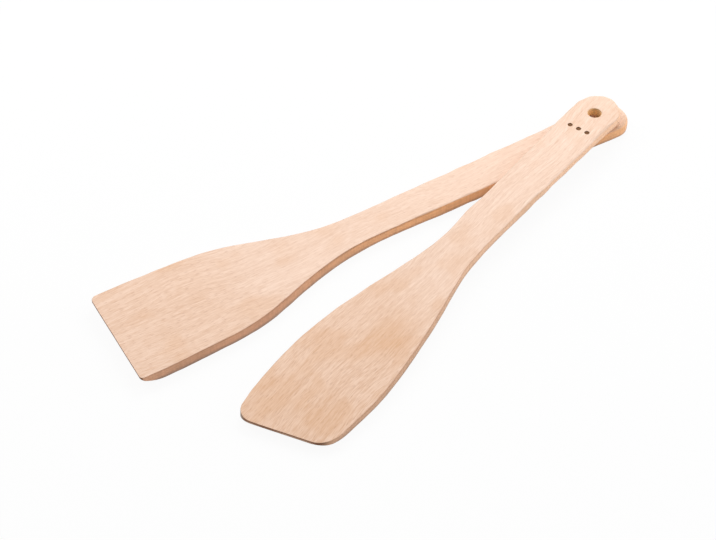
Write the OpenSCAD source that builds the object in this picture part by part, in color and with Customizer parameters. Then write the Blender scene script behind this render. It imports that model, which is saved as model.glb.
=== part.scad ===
// Pair of wooden turners, each sawn from one beech board, lying fanned out.
// The lower one, with a square blade, lies flat. The upper one, with a paddle
// blade, rests its blade on the table and its handle on the lower handle.
// Millimetres. +Z is up. The origin is where the axis of the lower turner's
// hanging hole meets the table. The lower turner lies along X, blade to -X.

/* [Lower turner] */
// Length of the lower turner, from the middle of its tip to its round end
lower_length = 327.5; // [310:0.5:345]
// Width of its blade at the shoulders
lower_blade_w = 60.4; // [54:0.2:66]
// Width that each side of its blade still gains towards the tip
lower_blade_gain = 1; // [0:0.1:2]
// Length of its blade, from the middle of its tip to the shoulders
lower_blade_len = 48.2; // [42:0.2:56]
// Length over which it narrows from the shoulders to the neck
lower_waist_run = 94; // [84:1:104]
// Width of its handle at the neck, where it is narrowest
lower_neck_w = 19.8; // [17:0.2:22]
// Width of its round end
lower_end_w = 24.2; // [22.4:0.2:26]
// Thickness of its board
lower_t = 6.5; // [5.5:0.1:8]

/* [Upper turner] */
// Length of the upper turner, from the middle of its tip to its round end
upper_length = 299.3; // [285:0.1:315]
// Width of its blade at its widest
upper_blade_w = 54.4; // [48:0.2:60]
// Width that each side of its blade loses from its widest place to its tip
upper_blade_draw = 3.8; // [2:0.1:6]
// Length of its blade, from the middle of its tip to its widest place
upper_blade_len = 45.9; // [38:0.1:54]
// Length over which it narrows from its widest place to the neck
upper_waist_run = 117; // [105:1:127]
// Width of its handle at the neck, where it is narrowest
upper_neck_w = 22; // [19:0.2:23]
// Width of its round end
upper_end_w = 25.8; // [23:0.2:27.4]
// Thickness of its board
upper_t = 5.3; // [4.5:0.1:7]
// Angle by which its blade is set off the line of its handle
blade_set = 0.6; // [0:0.1:1]

/* [Blade tips] */
// Length of the rounded bevel under each tip
bevel_run = 14.5; // [10:0.5:18]
// Thickness left at the edge of each tip
edge_t = 1; // [0.8:0.1:1.5]
// Slant of the lower turner's tip
lower_slant = -2.9; // [-5:0.1:0]
// Radius of the corners of the lower turner's tip
lower_corner_r = 1.8; // [1:0.1:4]
// Slant of the upper turner's tip
upper_slant = 15.6; // [10:0.1:18]
// Radius of the left corner of the upper turner's tip
upper_left_r = 8.5; // [6:0.5:12]
// Radius of the right corner of the upper turner's tip
upper_right_r = 11; // [8:0.5:14]

/* [Hanging holes] */
// Diameter of each hanging hole
hole_d = 7.8; // [6:0.1:9]
// Distance from the middle of each hole to the round end
hole_inset = 15; // [13.8:0.1:17]

/* [How the pair lies] */
// Angle between the two handles
fan_angle = 18.8; // [16:0.2:22]
// Distance by which the upper hole lies behind the lower one
hole_lag = 6.4; // [5:0.1:8]
// Gap left where the upper handle rests on the lower one
seat_gap = 0.2; // [0.1:0.05:0.5]

/* [Hidden] */

// Places along each turner, measured from its hanging hole, blade to the minus side
lower_tip = hole_inset - lower_length;
lower_shoulder = lower_tip + lower_blade_len;
lower_neck = lower_shoulder + lower_waist_run;
lower_head = hole_inset - lower_end_w / 2;
upper_tip = hole_inset - upper_length;
upper_shoulder = upper_tip + upper_blade_len;
upper_neck = upper_shoulder + upper_waist_run;
upper_head = hole_inset - upper_end_w / 2;

// How late each handle widens towards its round end: 1 is an even taper
lower_flare_curve = 3.5;
upper_flare_curve = 1.6;
// The lower blade starts its last gain this far before the shoulders, and ends it after this run
blade_gain_lead = 10;
blade_gain_run = 40;
// How late the paddle blade draws in towards its tip: 1 is an even taper
paddle_curve = 1.7;

side_steps = 44;
head_steps = 28;
corner_steps = 8;
bevel_steps = 8;
solve_steps = 10;
hole_overrun = 1;
$fn = 64;

// The side views run past the round ends, and are wide enough for a slanted tip
side_overrun = 20;
side_width = 2 * lower_length;

colour_lower = "#EFD0AE";
colour_upper = "#F3D6B8";

// Smooth step from 0 to 1
function ease(t) = let(c = min(max(t, 0), 1)) c * c * (3 - 2 * c);

function unit(v) = v / norm(v);

// Half width that swells from the neck into the blade and into the round end
function swell(x, neck, shoulder, head, neck_w, blade_w, end_w, flare) =
    (neck_w + (blade_w - neck_w) * ease((neck - x) / (neck - shoulder))
     + (end_w - neck_w) * pow(max(0, (x - neck) / (head - neck)), flare)) / 2;

function lower_half(x) =
    swell(x, lower_neck, lower_shoulder, lower_head,
          lower_neck_w, lower_blade_w, lower_end_w, lower_flare_curve)
    + lower_blade_gain * ease((lower_shoulder + blade_gain_lead - x) / blade_gain_run);

function upper_half(x) =
    swell(x, upper_neck, upper_shoulder, upper_head,
          upper_neck_w, upper_blade_w, upper_end_w, upper_flare_curve)
    - upper_blade_draw * pow(max(0, upper_shoulder - x) / upper_blade_len, paddle_curve);

// Middle line of each turner: the upper blade leaves the line of its handle
function lower_mid(x) = 0;
function upper_mid(x) = tan(blade_set) * min(0, x - upper_neck);

// Place along X where the left (side 1) or right (side -1) edge meets the slanted tip
function tip_corner(half, mid, tip, slant, side, x, steps) = steps < 1 ? x :
    tip_corner(half, mid, tip, slant, side, tip - tan(slant) * (mid(x) + side * half(x)), steps - 1);

// Arc of radius r that rounds the corner q between the points p and s
function corner_arc(p, q, s, r) =
    let(
        u = unit(p - q),
        v = unit(s - q),
        half = acos(u * v) / 2,
        c = q + unit(u + v) * r / sin(half),
        from = q + u * r / tan(half) - c,
        start = atan2(from[1], from[0]),
        turn = sign(u[0] * v[1] - u[1] * v[0]) * (2 * half - 180)
    )
    [for (i = [0:corner_steps]) c + r * [cos(start + turn * i / corner_steps),
                                         sin(start + turn * i / corner_steps)]];

// Outline of one turner, clockwise from its left tip corner
function outline(half, mid, tip, head, slant, left_r, right_r) =
    let(
        left_x = tip_corner(half, mid, tip, slant, 1, tip, solve_steps),
        right_x = tip_corner(half, mid, tip, slant, -1, tip, solve_steps),
        left = [left_x, mid(left_x) + half(left_x)],
        right = [right_x, mid(right_x) - half(right_x)],
        left_side = [for (i = [0:side_steps])
            let(x = left_x + left_r + (head - left_x - left_r) * i / side_steps)
            [x, mid(x) + half(x)]],
        right_side = [for (i = [side_steps:-1:0])
            let(x = right_x + right_r + (head - right_x - right_r) * i / side_steps)
            [x, mid(x) - half(x)]],
        round_end = [for (i = [1:head_steps - 1])
            let(a = 90 - 180 * i / head_steps)
            [head + half(head) * cos(a), half(head) * sin(a)]]
    )
    concat(corner_arc(right, left, left_side[1], left_r), [for (i = [1:side_steps]) left_side[i]],
           round_end, [for (i = [0:side_steps - 1]) right_side[i]],
           corner_arc(right_side[side_steps - 1], right, left, right_r));

// Side view of one board: flat on top, rounded up to a thin edge under the tip
module side_view(tip, board_t) {
    far_end = hole_inset + side_overrun;
    rise = board_t - edge_t;
    under = [for (i = [0:bevel_steps])
        let(t = i / bevel_steps)
        [tip + bevel_run * (1 - t), rise * t * t]];
    polygon(concat([[far_end, board_t], [far_end, 0]], under, [[tip, board_t]]));
}

// One turner, lying flat with its hanging hole on the Z axis
module turner(points, tip, board_t, slant) {
    difference() {
        intersection() {
            linear_extrude(board_t)
                polygon(points);
            rotate([0, 0, slant])
                rotate([90, 0, 0])
                    linear_extrude(side_width, center = true)
                        side_view(tip * cos(slant), board_t);
        }
        translate([0, 0, -hole_overrun])
            cylinder(d = hole_d, h = board_t + 2 * hole_overrun);
    }
}

// Distance from the upper hole, along its handle, to where its left edge crosses
// the near edge of the lower handle
function crossing(u, steps) = steps < 1 ? u :
    crossing((upper_half(-u) * cos(fan_angle) + lower_half(-hole_lag - u * cos(fan_angle)))
             / sin(fan_angle), steps - 1);
rest_u = crossing(0, solve_steps);

// The upper turner pivots on the line where its bevel starts, until it rests there
bevel_foot = upper_tip + bevel_run / cos(upper_slant);
rest_run = (-rest_u - bevel_foot) * cos(upper_slant) + upper_half(-rest_u) * sin(upper_slant);
pitch = asin((lower_t + seat_gap) / rest_run);

module lower_turner() {
    color(colour_lower)
        turner(outline(function(x) lower_half(x), function(x) lower_mid(x), lower_tip,
                       lower_head, lower_slant, lower_corner_r, lower_corner_r),
               lower_tip, lower_t, lower_slant);
}

module upper_turner() {
    color(colour_upper)
        translate([-hole_lag, 0, 0])
            rotate([0, 0, fan_angle])
                translate([bevel_foot, 0, 0])
                    rotate([0, 0, upper_slant])
                        rotate([0, -pitch, 0])
                            rotate([0, 0, -upper_slant])
                                translate([-bevel_foot, 0, 0])
                                    turner(outline(function(x) upper_half(x),
                                                   function(x) upper_mid(x), upper_tip,
                                                   upper_head, upper_slant,
                                                   upper_left_r, upper_right_r),
                                           upper_tip, upper_t, upper_slant);
}

lower_turner();
upper_turner();
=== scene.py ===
"""Pair of beech turners, lying fanned out: finished meshes, wood and a plain studio.

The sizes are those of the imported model, in metres and in its frame. +Z is up, and the
lower turner's hanging hole stands on the origin, with its blade towards -X.
"""

import math

import bmesh
import bpy
from mathutils import Matrix, Vector, noise


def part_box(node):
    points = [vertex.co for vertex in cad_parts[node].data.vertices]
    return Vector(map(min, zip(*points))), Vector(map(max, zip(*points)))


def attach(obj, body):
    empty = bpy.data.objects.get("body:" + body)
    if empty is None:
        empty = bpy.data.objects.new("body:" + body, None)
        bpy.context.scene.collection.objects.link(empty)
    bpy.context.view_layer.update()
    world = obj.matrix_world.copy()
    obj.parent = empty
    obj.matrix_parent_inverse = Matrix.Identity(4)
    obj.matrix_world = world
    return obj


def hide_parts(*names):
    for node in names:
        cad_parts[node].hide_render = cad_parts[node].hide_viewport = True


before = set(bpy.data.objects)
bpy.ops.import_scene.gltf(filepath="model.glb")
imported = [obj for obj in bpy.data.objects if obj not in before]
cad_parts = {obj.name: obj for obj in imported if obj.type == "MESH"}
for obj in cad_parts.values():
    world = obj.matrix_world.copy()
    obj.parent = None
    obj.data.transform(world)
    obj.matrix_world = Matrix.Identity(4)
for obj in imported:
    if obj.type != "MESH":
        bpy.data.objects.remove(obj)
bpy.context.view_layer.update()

bl_info = {
    "name": "Beech Turners",
    "version": (1, 0, 0),
    "blender": (4, 5, 0),
    "location": "3D View > Sidebar > Turners",
    "description": "Builds a pair of wooden turners, their beech and a plain studio",
    "category": "Object",
}

LOWER_LOW, LOWER_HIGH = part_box("lower_turner")
MM = 0.001


# Sizes and colours that a user can change

class LowerTurnerSizes(bpy.types.PropertyGroup):
    """Sizes of the lower turner, with the square blade"""
    length: bpy.props.FloatProperty(
        name="Length", description="From the middle of the tip to the round end",
        default=0.3275, unit="LENGTH", subtype="DISTANCE")
    blade_width: bpy.props.FloatProperty(
        name="Blade width", description="Width of the blade at the shoulders",
        default=0.0604, unit="LENGTH", subtype="DISTANCE")
    blade_gain: bpy.props.FloatProperty(
        name="Blade gain", description="Width that each side of the blade gains towards the tip",
        default=0.001, unit="LENGTH", subtype="DISTANCE")
    blade_draw: bpy.props.FloatProperty(
        name="Blade draw", description="Width that each side of the blade loses towards the tip",
        default=0.0, unit="LENGTH", subtype="DISTANCE")
    blade_length: bpy.props.FloatProperty(
        name="Blade length", description="From the middle of the tip to the shoulders",
        default=0.0482, unit="LENGTH", subtype="DISTANCE")
    waist_run: bpy.props.FloatProperty(
        name="Waist run", description="Length over which the board narrows to the neck",
        default=0.094, unit="LENGTH", subtype="DISTANCE")
    neck_width: bpy.props.FloatProperty(
        name="Neck width", description="Width of the handle where it is narrowest",
        default=0.0198, unit="LENGTH", subtype="DISTANCE")
    end_width: bpy.props.FloatProperty(
        name="Round end", description="Width of the round end",
        default=0.0242, unit="LENGTH", subtype="DISTANCE")
    thickness: bpy.props.FloatProperty(
        name="Thickness", description="Thickness of the board",
        default=round(LOWER_HIGH.z - LOWER_LOW.z, 5), unit="LENGTH", subtype="DISTANCE")
    blade_set: bpy.props.FloatProperty(
        name="Blade set", description="Angle by which the blade leaves the line of the handle",
        default=0.0, unit="ROTATION", subtype="ANGLE")
    tip_slant: bpy.props.FloatProperty(
        name="Tip slant", description="Slant of the tip: above zero, the left side is longer",
        default=math.radians(-2.9), unit="ROTATION", subtype="ANGLE")
    left_radius: bpy.props.FloatProperty(
        name="Left corner", description="Radius of the tip's left corner",
        default=0.0034, unit="LENGTH", subtype="DISTANCE")
    right_radius: bpy.props.FloatProperty(
        name="Right corner", description="Radius of the tip's right corner",
        default=0.0022, unit="LENGTH", subtype="DISTANCE")
    flare_curve: bpy.props.FloatProperty(
        name="Flare", description="How late the handle widens: 1 is an even taper",
        default=3.5)
    eased_blade: bpy.props.FloatProperty(
        name="Eased blade", description="Radius to which the edges of the blade are sanded",
        default=0.0005, unit="LENGTH", subtype="DISTANCE")
    eased_handle: bpy.props.FloatProperty(
        name="Eased handle", description="Radius of the upper edges at the round end",
        default=0.0012, unit="LENGTH", subtype="DISTANCE")
    eased_under: bpy.props.FloatProperty(
        name="Eased underside", description="Radius of the lower edges at the round end",
        default=0.0010, unit="LENGTH", subtype="DISTANCE")
    end_worn: bpy.props.FloatProperty(
        name="End worn", description="Extra softness of the right corner at the round end",
        default=0.9, min=0.0, max=2.0)


class UpperTurnerSizes(bpy.types.PropertyGroup):
    """Sizes of the upper turner, with the paddle blade"""
    length: bpy.props.FloatProperty(
        name="Length", description="From the middle of the tip to the round end",
        default=0.2993, unit="LENGTH", subtype="DISTANCE")
    blade_width: bpy.props.FloatProperty(
        name="Blade width", description="Width of the blade at its widest",
        default=0.0544, unit="LENGTH", subtype="DISTANCE")
    blade_gain: bpy.props.FloatProperty(
        name="Blade gain", description="Width that each side of the blade gains towards the tip",
        default=0.0, unit="LENGTH", subtype="DISTANCE")
    blade_draw: bpy.props.FloatProperty(
        name="Blade draw", description="Width that each side of the blade loses towards the tip",
        default=0.0038, unit="LENGTH", subtype="DISTANCE")
    blade_length: bpy.props.FloatProperty(
        name="Blade length", description="From the middle of the tip to the widest place",
        default=0.0459, unit="LENGTH", subtype="DISTANCE")
    waist_run: bpy.props.FloatProperty(
        name="Waist run", description="Length over which the board narrows to the neck",
        default=0.117, unit="LENGTH", subtype="DISTANCE")
    neck_width: bpy.props.FloatProperty(
        name="Neck width", description="Width of the handle where it is narrowest",
        default=0.022, unit="LENGTH", subtype="DISTANCE")
    end_width: bpy.props.FloatProperty(
        name="Round end", description="Width of the round end",
        default=0.0258, unit="LENGTH", subtype="DISTANCE")
    thickness: bpy.props.FloatProperty(
        name="Thickness", description="Thickness of the board",
        default=0.0053, unit="LENGTH", subtype="DISTANCE")
    blade_set: bpy.props.FloatProperty(
        name="Blade set", description="Angle by which the blade leaves the line of the handle",
        default=math.radians(0.6), unit="ROTATION", subtype="ANGLE")
    tip_slant: bpy.props.FloatProperty(
        name="Tip slant", description="Slant of the tip: above zero, the left side is longer",
        default=math.radians(15.6), unit="ROTATION", subtype="ANGLE")
    left_radius: bpy.props.FloatProperty(
        name="Left corner", description="Radius of the tip's left corner",
        default=0.0085, unit="LENGTH", subtype="DISTANCE")
    right_radius: bpy.props.FloatProperty(
        name="Right corner", description="Radius of the tip's right corner",
        default=0.011, unit="LENGTH", subtype="DISTANCE")
    flare_curve: bpy.props.FloatProperty(
        name="Flare", description="How late the handle widens: 1 is an even taper",
        default=1.6)
    eased_blade: bpy.props.FloatProperty(
        name="Eased blade", description="Radius to which the edges of the blade are sanded",
        default=0.0006, unit="LENGTH", subtype="DISTANCE")
    eased_handle: bpy.props.FloatProperty(
        name="Eased handle", description="Radius of the upper edges at the round end",
        default=0.0014, unit="LENGTH", subtype="DISTANCE")
    eased_under: bpy.props.FloatProperty(
        name="Eased underside", description="Radius of the lower edges at the round end",
        default=0.0019, unit="LENGTH", subtype="DISTANCE")
    end_worn: bpy.props.FloatProperty(
        name="End worn", description="Extra softness of the right corner at the round end",
        default=0.45, min=0.0, max=2.0)


class PairSizes(bpy.types.PropertyGroup):
    """Sizes that both turners share, and how they lie"""
    bevel_run: bpy.props.FloatProperty(
        name="Bevel run", description="Length of the rounded bevel under each tip",
        default=0.0145, unit="LENGTH", subtype="DISTANCE")
    edge_thickness: bpy.props.FloatProperty(
        name="Tip edge", description="Thickness left at the edge of each tip",
        default=0.001, unit="LENGTH", subtype="DISTANCE")
    hole_diameter: bpy.props.FloatProperty(
        name="Hanging hole", description="Diameter of each hanging hole",
        default=0.0078, unit="LENGTH", subtype="DISTANCE")
    hole_inset: bpy.props.FloatProperty(
        name="Hole inset", description="From the middle of each hole to the round end",
        default=0.015, unit="LENGTH", subtype="DISTANCE")
    fan_angle: bpy.props.FloatProperty(
        name="Fan angle", description="Angle between the two handles",
        default=math.radians(18.8), unit="ROTATION", subtype="ANGLE")
    hole_lag: bpy.props.FloatProperty(
        name="Hole lag", description="How far the upper hole lies behind the lower one",
        default=0.0064, unit="LENGTH", subtype="DISTANCE")
    seat_gap: bpy.props.FloatProperty(
        name="Seat gap", description="Gap where the upper handle rests on the lower one",
        default=0.0002, unit="LENGTH", subtype="DISTANCE")
    dot_diameter: bpy.props.FloatProperty(
        name="Burnt dot", description="Diameter of each burnt dot near the upper hole",
        default=0.0029, unit="LENGTH", subtype="DISTANCE")
    dot_spacing: bpy.props.FloatProperty(
        name="Dot spacing", description="Distance from one burnt dot to the next",
        default=0.0056, unit="LENGTH", subtype="DISTANCE")
    dot_distance: bpy.props.FloatProperty(
        name="Dot distance", description="From the middle of the hole to the row of dots",
        default=0.017, unit="LENGTH", subtype="DISTANCE")
    dot_depth: bpy.props.FloatProperty(
        name="Dot depth", description="Depth to which each dot is burnt in",
        default=0.0004, unit="LENGTH", subtype="DISTANCE")


def from_hex(text):
    """Linear colour of an sRGB hex value such as #F0D2B4."""
    channels = [int(text[i:i + 2], 16) / 255 for i in (1, 3, 5)]
    return tuple(c / 12.92 if c <= 0.04045 else ((c + 0.055) / 1.055) ** 2.4 for c in channels)


class BeechFinish(bpy.types.PropertyGroup):
    """Colours of the wood"""
    pale: bpy.props.FloatVectorProperty(
        name="Pale wood", description="Colour of the palest fibres on the planed faces",
        subtype="COLOR", size=3, min=0, max=1, default=from_hex("#FBDECA"))
    warm: bpy.props.FloatVectorProperty(
        name="Warm wood", description="Colour of the darkest fibres on the planed faces",
        subtype="COLOR", size=3, min=0, max=1, default=from_hex("#E2BCA1"))
    # Also the colour of the painted warm shade on the lower round end, under the upper end
    heart: bpy.props.FloatVectorProperty(
        name="Heartwood", description="Colour that warms the wood near the heart of the log",
        subtype="COLOR", size=3, min=0, max=1, default=from_hex("#DFAC80"))
    fleck: bpy.props.FloatVectorProperty(
        name="Ray fleck", description="Colour of the short dark rays",
        subtype="COLOR", size=3, min=0, max=1, default=from_hex("#A96F4E"))
    # The sawn edges darken from the handle to the blade, partly in the wood and partly with painted shade
    # where the light falls off towards the blades
    lower_blade_edge: bpy.props.FloatVectorProperty(
        name="Square blade edge", description="Colour of the sawn edge of the lower blade",
        subtype="COLOR", size=3, min=0, max=1, default=from_hex("#E6B08D"))
    lower_handle_edge: bpy.props.FloatVectorProperty(
        name="Lower handle edge", description="Colour of the sawn edge of the lower handle",
        subtype="COLOR", size=3, min=0, max=1, default=from_hex("#FFC28E"))
    upper_blade_edge: bpy.props.FloatVectorProperty(
        name="Paddle blade edge", description="Colour of the sawn edge of the upper blade",
        subtype="COLOR", size=3, min=0, max=1, default=from_hex("#E3B491"))
    upper_handle_edge: bpy.props.FloatVectorProperty(
        name="Upper handle edge", description="Colour of the sawn edge of the upper handle",
        subtype="COLOR", size=3, min=0, max=1, default=from_hex("#FFD0AC"))
    # Colour of the painted shade on the rounded corners, top and bottom
    arris: bpy.props.FloatVectorProperty(
        name="Sanded arris", description="Colour where sanding has burnished the corners",
        subtype="COLOR", size=3, min=0, max=1, default=from_hex("#A85828"))
    # Colour of the painted contact shadow along the foot of each sawn edge
    foot: bpy.props.FloatVectorProperty(
        name="Foot of the edge", description="Colour of the sawn edge where it meets the table",
        subtype="COLOR", size=3, min=0, max=1, default=from_hex("#A68F81"))
    # Colour towards which the left corners turn greyer
    grey_left_corner: bpy.props.FloatVectorProperty(
        name="Handled corner", description="Colour to which hands have greyed the left corners",
        subtype="COLOR", size=3, min=0, max=1, default=from_hex("#CDBFAE"))
    drilled: bpy.props.FloatVectorProperty(
        name="Drilled wall", description="Colour of the clean wood inside the hanging holes",
        subtype="COLOR", size=3, min=0, max=1, default=from_hex("#FFD8A4"))
    round_end: bpy.props.FloatVectorProperty(
        name="Round end", description="Colour of the end grain that shows at the round ends",
        subtype="COLOR", size=3, min=0, max=1, default=from_hex("#DDB598"))
    # Colour of the tip edge: partly its thin end grain, partly painted shade
    tip_edge: bpy.props.FloatVectorProperty(
        name="Tip edge", description="Colour of the thin end grain at the tips",
        subtype="COLOR", size=3, min=0, max=1, default=from_hex("#88624A"))
    burnt: bpy.props.FloatVectorProperty(
        name="Burnt wood", description="Colour inside the burnt dots",
        subtype="COLOR", size=3, min=0, max=1, default=from_hex("#7E5A3E"))


class StudioSettings(bpy.types.PropertyGroup):
    """Camera, lamps and floor"""
    camera_place: bpy.props.FloatVectorProperty(
        name="Camera", description="Place of the camera", subtype="TRANSLATION", size=3,
        default=(-0.4868, -0.4923, 0.5696))
    camera_target: bpy.props.FloatVectorProperty(
        name="Target", description="Point on the table that the camera looks at",
        subtype="TRANSLATION", size=3, default=(-0.18127, -0.02088, 0.0))
    focal_length: bpy.props.FloatProperty(
        name="Focal length", description="In mm, for a sensor 36 mm wide", default=76.42)
    softbox_power: bpy.props.FloatProperty(
        name="Softbox", description="Power of the softbox behind the round ends", default=8.9,
        unit="POWER")
    side_power: bpy.props.FloatProperty(
        name="Side lamp", description="Power of the soft lamp on the camera's right",
        default=5.0, unit="POWER")
    rim_power: bpy.props.FloatProperty(
        name="Rim lamp", description="Power of the soft lamp behind the blades", default=5.7,
        unit="POWER")
    sky_strength: bpy.props.FloatProperty(
        name="Tent", description="Strength of the white tent around the set", default=0.36)
    floor_colour: bpy.props.FloatVectorProperty(
        name="Floor", description="Colour of the floor", subtype="COLOR", size=3, min=0, max=1,
        default=from_hex("#F4F4F4"))


# Plan shape of one turner

# How far the hand-sanded outline stands out from its even shape, in mm. Each pair is a place
# along the board in mm, or an angle round the end in degrees, and the distance there.
LOWER_FULLNESS = {
    "tip": (-0.25, -0.25),
    "left edge": ((-305, 0.38), (-256, 0.4), (-236, 1.05), (-202, 0.4), (-189, 0.4),
                  (-176, 0.65), (-160, 0.3), (-130, 0.78), (-100, 0.93), (-80, 1.0), (3, 0.55)),
    "right edge": ((-309, 0.4), (-298, 0.7), (-284, 0.43), (-244, 0.65), (-212, 0.2),
                   (-188, 0.62), (-164, 0.15), (-142, 0.25), (-126, 0.6), (-112, 0.68),
                   (-94, 1.0), (-50, 0.5), (3, 0.53)),
    "right foot": ((-309, 0.4), (-262, 0.4), (-236, 1.1), (-212, 0.65), (-188, 0.98),
                   (-152, -0.3), (-118, 0.8), (-94, 1.05), (-50, 0.5), (3, 0.53)),
    "round end": ((-90, 0.58), (-70, 0.7), (-45, 0.64), (0, 0.5), (25, 1.05), (60, 0.6),
                  (90, 0.5)),
}
UPPER_FULLNESS = {
    "tip": (-0.45, 0.12),
    "left edge": ((-281, -0.55), (-270, 0.15), (-262, 0.3), (-232, 0.22), (-214, 0.57),
                  (-196, 0.74), (-170, 0.7), (-140, 0.1), (-123, 0.2), (-107, 1.25),
                  (-96, 0.55), (-82, 0.5), (-40, 0.95), (-14, 1.1), (3, 0.35)),
    "right edge": ((-274, 0.2), (-266, 0.75), (-250, 0.55), (-228, 0.05), (-212, -0.3),
                   (-198, 0.16), (-168, 0.48), (-158, 0.1), (-142, -0.42), (-126, 0.0),
                   (-104, 0.22), (-82, -0.05), (-64, 0.66), (-48, 0.53), (-36, 0.72),
                   (-20, 0.45), (3, 0.6)),
    "right foot": ((-272, -0.3), (-262, 0.1), (-248, 0.1), (-214, -0.1), (-174, 0.7),
                   (-144, -0.25), (-128, 0.0), (-112, -0.05), (-92, 0.25), (-60, 0.25),
                   (-40, 0.35), (3, 0.6)),
    "round end": ((-90, 0.6), (-40, 1.0), (0, 1.7), (12, 1.72), (25, 1.25), (45, 0.85),
                  (70, -0.3), (90, 0.25)),
}


def ease(t):
    """Smooth step from 0 to 1."""
    c = min(max(t, 0.0), 1.0)
    return c * c * (3.0 - 2.0 * c)


def between(table, at):
    """Value of a table of places and values, eased from one pair to the next."""
    for (a, low), (b, high) in zip(table, table[1:]):
        if at < b:
            return low + (high - low) * ease((at - a) / (b - a))
    return table[-1][1]


class Board:
    """One turner in its own axes: hanging hole on Z, blade towards -X, underside on z = 0."""

    gain_lead = 0.010
    gain_run = 0.040
    draw_curve = 1.7
    solve_steps = 10

    def __init__(self, sizes, pair, fullness):
        self.sizes = sizes
        self.pair = pair
        self.fullness = fullness
        self.tip = pair.hole_inset - sizes.length
        self.shoulder = self.tip + sizes.blade_length
        self.neck = self.shoulder + sizes.waist_run
        self.head = pair.hole_inset - sizes.end_width / 2
        self.lean = math.tan(sizes.tip_slant)
        self.inward = Vector((math.cos(sizes.tip_slant), math.sin(sizes.tip_slant)))
        self.tip_line = self.tip * self.inward.x

    def half(self, x):
        """Half width of the board at x."""
        s = self.sizes
        blade = (s.blade_width - s.neck_width) * ease((self.neck - x) / s.waist_run)
        reach = max(0.0, (x - self.neck) / (self.head - self.neck))
        flare = (s.end_width - s.neck_width) * reach ** s.flare_curve
        gain = s.blade_gain * ease((self.shoulder + self.gain_lead - x) / self.gain_run)
        past = max(0.0, self.shoulder - x) / s.blade_length
        return (s.neck_width + blade + flare) / 2 + gain - s.blade_draw * past ** self.draw_curve

    def middle(self, x):
        """Middle line of the board, which leaves the line of the handle at the blade."""
        return math.tan(self.sizes.blade_set) * min(0.0, x - self.neck)

    def edge_point(self, x, side):
        """Point on the left (side 1) or right (side -1) edge."""
        return Vector((x, self.middle(x) + side * self.half(x)))

    def stands_out(self, point, foot):
        """How far the sanded edge stands out at a point of the outline, above or at its foot."""
        if point.x > self.head:
            angle = math.degrees(math.atan2(point.y, point.x - self.head))
            return between(self.fullness["round end"], angle) * MM
        if point.y > self.middle(point.x):
            run, radius = "left edge", self.sizes.left_radius
        else:
            run, radius = "right foot" if foot else "right edge", self.sizes.right_radius
        side = between(self.fullness[run], point.x / MM)
        # Round a corner the edge's own distance gives way to that of the tip
        ahead = min(max(1 - self.from_tip(point) / radius, 0.0), 1.0)
        tip = self.fullness["tip"][foot]
        return (ahead * tip + math.sqrt(1 - ahead * ahead) * side) * MM

    def edge_inward(self, x, side):
        """Unit vector from that edge into the board."""
        step = 0.0005
        along = self.edge_point(x + step, side) - self.edge_point(x - step, side)
        return Vector((side * along.y, -side * along.x)).normalized()

    def from_tip(self, point):
        """Distance of a point from the line of the tip, into the board."""
        return point.dot(self.inward) - self.tip_line

    def underside(self, point):
        """Height of the underside, which curves up to the edge of the tip."""
        run = self.pair.bevel_run
        t = min(max(1.0 - self.from_tip(point) / run, 0.0), 1.0)
        return (self.sizes.thickness - self.pair.edge_thickness) * t * t

    def corner(self, side):
        """Corner arc from the edge to the tip line, and the place where it leaves the edge."""
        radius = self.sizes.left_radius if side > 0 else self.sizes.right_radius
        x = self.tip
        for _ in range(self.solve_steps):
            x = self.tip - self.lean * self.edge_point(x, side).y
        low, high = x, x + 4 * radius
        for _ in range(40):
            x = (low + high) / 2
            centre = self.edge_point(x, side) + radius * self.edge_inward(x, side)
            if self.from_tip(centre) < radius:
                low = x
            else:
                high = x
        start = self.edge_point(x, side) - centre
        turn = start.angle_signed(-self.inward)
        steps = 24
        arc = []
        for i in range(steps + 1):
            ray = start.copy()
            ray.rotate(Matrix.Rotation(-turn * i / steps, 2))
            arc.append(centre + ray)
        return x, arc

    def outline(self, cut):
        """Four open runs round the board, each from the cut line on: left edge, tip, right edge, round end."""
        left_x, left_arc = self.corner(1)
        right_x, right_arc = self.corner(-1)
        middle = len(left_arc) // 2
        dense = 400

        def edge(side, start, stop):
            return [self.edge_point(start + (stop - start) * i / dense, side)
                    for i in range(dense + 1)]

        left = edge(1, cut, left_x) + left_arc[1:middle + 1]
        tip = left_arc[middle:] + right_arc[:middle - 1:-1]
        right = edge(-1, cut, right_x) + right_arc[1:middle + 1]
        radius = self.half(self.head)
        arc = [Vector((self.head + radius * math.sin(a), radius * math.cos(a)))
               for a in (math.pi * i / dense for i in range(1, dense))]
        end = edge(1, cut, self.head) + arc + edge(-1, self.head, cut)
        return left, tip, right, end


# Points along a run

def lengths(points):
    """Length of a run up to each of its points."""
    out = [0.0]
    for a, b in zip(points, points[1:]):
        out.append(out[-1] + (b - a).length)
    return out


def resample(points, stations):
    """Points of a run at these distances from its start."""
    total = lengths(points)
    out, k = [], 0
    for s in stations:
        s = min(max(s, 0.0), total[-1])
        while k < len(total) - 2 and total[k + 1] < s:
            k += 1
        span = total[k + 1] - total[k]
        t = (s - total[k]) / span if span > 0 else 0.0
        out.append(points[k].lerp(points[k + 1], t))
    return out


def spaced(total, count):
    """Distances of count + 1 even stations."""
    return [total * i / count for i in range(count + 1)]


def graded(total, first, growth, largest):
    """Stations from 0 to total whose steps grow from the start until they are large enough."""
    out, step = [0.0], first
    while out[-1] < total:
        out.append(out[-1] + step)
        step = min(step * growth, largest)
    return [s * total / out[-1] for s in out]


def graded_both(total, first, growth, largest):
    """Stations that are fine at both ends of a run."""
    half = graded(total / 2, first, growth, largest)
    return half + [total - s for s in half[-2::-1]]


# Mesh of one turner

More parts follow.
